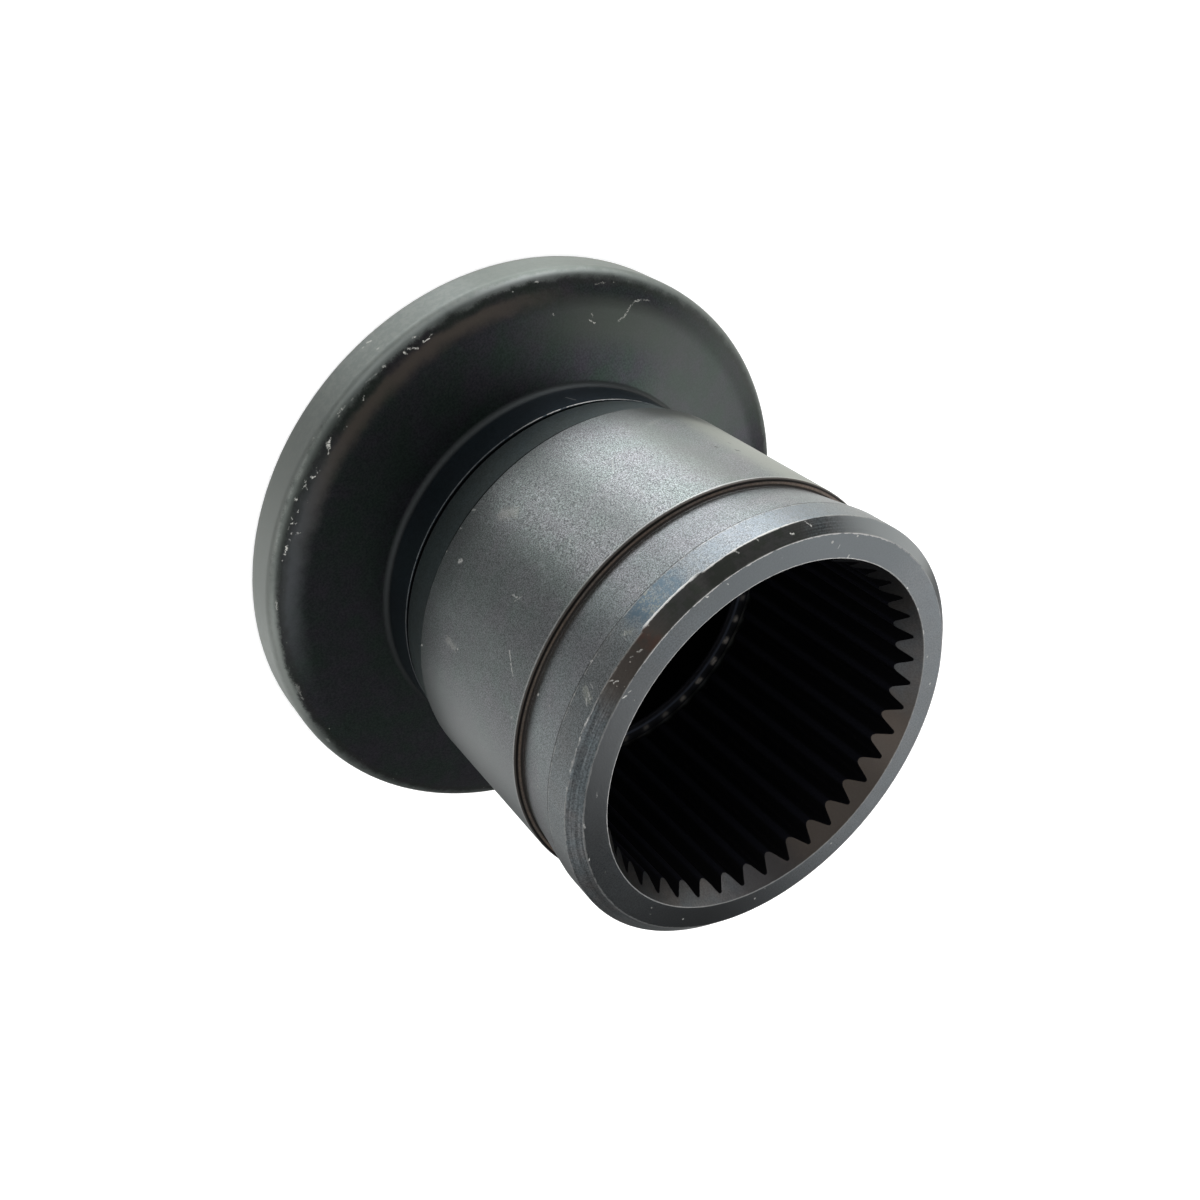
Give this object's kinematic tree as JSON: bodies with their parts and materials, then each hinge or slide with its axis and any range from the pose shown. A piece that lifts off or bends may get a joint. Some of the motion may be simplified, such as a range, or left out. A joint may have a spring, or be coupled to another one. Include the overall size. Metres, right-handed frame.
{
  "type": "flange coupling",
  "caption": "Round flanged steel sleeve with a splined bore, a ground outside seat, an undercut beside the flange and a retaining groove near its mouth.",
  "frame": {"origin": "centre of the flange's flat back face, which the part stands on", "axes": "+Z along the bore axis, from the flange towards the splined mouth; +X through the middle of a space between two teeth"},
  "size_m": [0.112, 0.112, 0.078],
  "materials": {
    "blackened_steel": "blackened and lightly oiled, satin, with bright wear on the edges"
  },
  "bodies": {
    "root": {"flange_coupling": "blackened_steel"}
  },
  "joints": []
}
